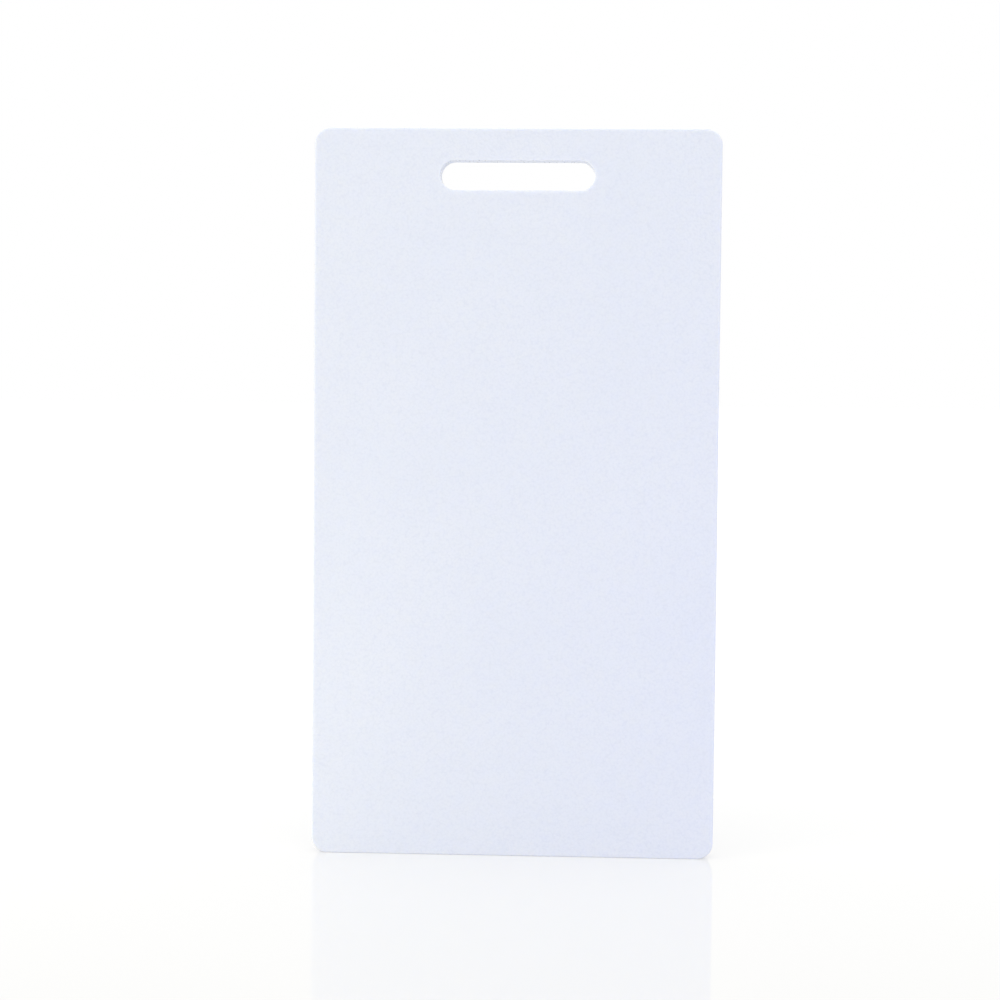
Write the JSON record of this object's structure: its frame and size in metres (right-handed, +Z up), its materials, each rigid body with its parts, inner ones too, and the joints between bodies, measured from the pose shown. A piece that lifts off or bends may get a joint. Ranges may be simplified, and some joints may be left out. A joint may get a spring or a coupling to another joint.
{
  "type": "cutting board",
  "caption": "Rectangular cutting board of solid white plastic, standing upright, with rounded corners and edges and a long hand slot near its top edge.",
  "frame": {"origin": "middle of the foot edge, halfway through the board's thickness", "axes": "+Z up the board's length towards the hand slot, +X to the right across its width, -Y out of the front cutting face"},
  "size_m": [0.25, 0.015, 0.45],
  "materials": {
    "white_polyethylene": "satin"
  },
  "bodies": {
    "root": {"board": "white_polyethylene"}
  },
  "joints": []
}
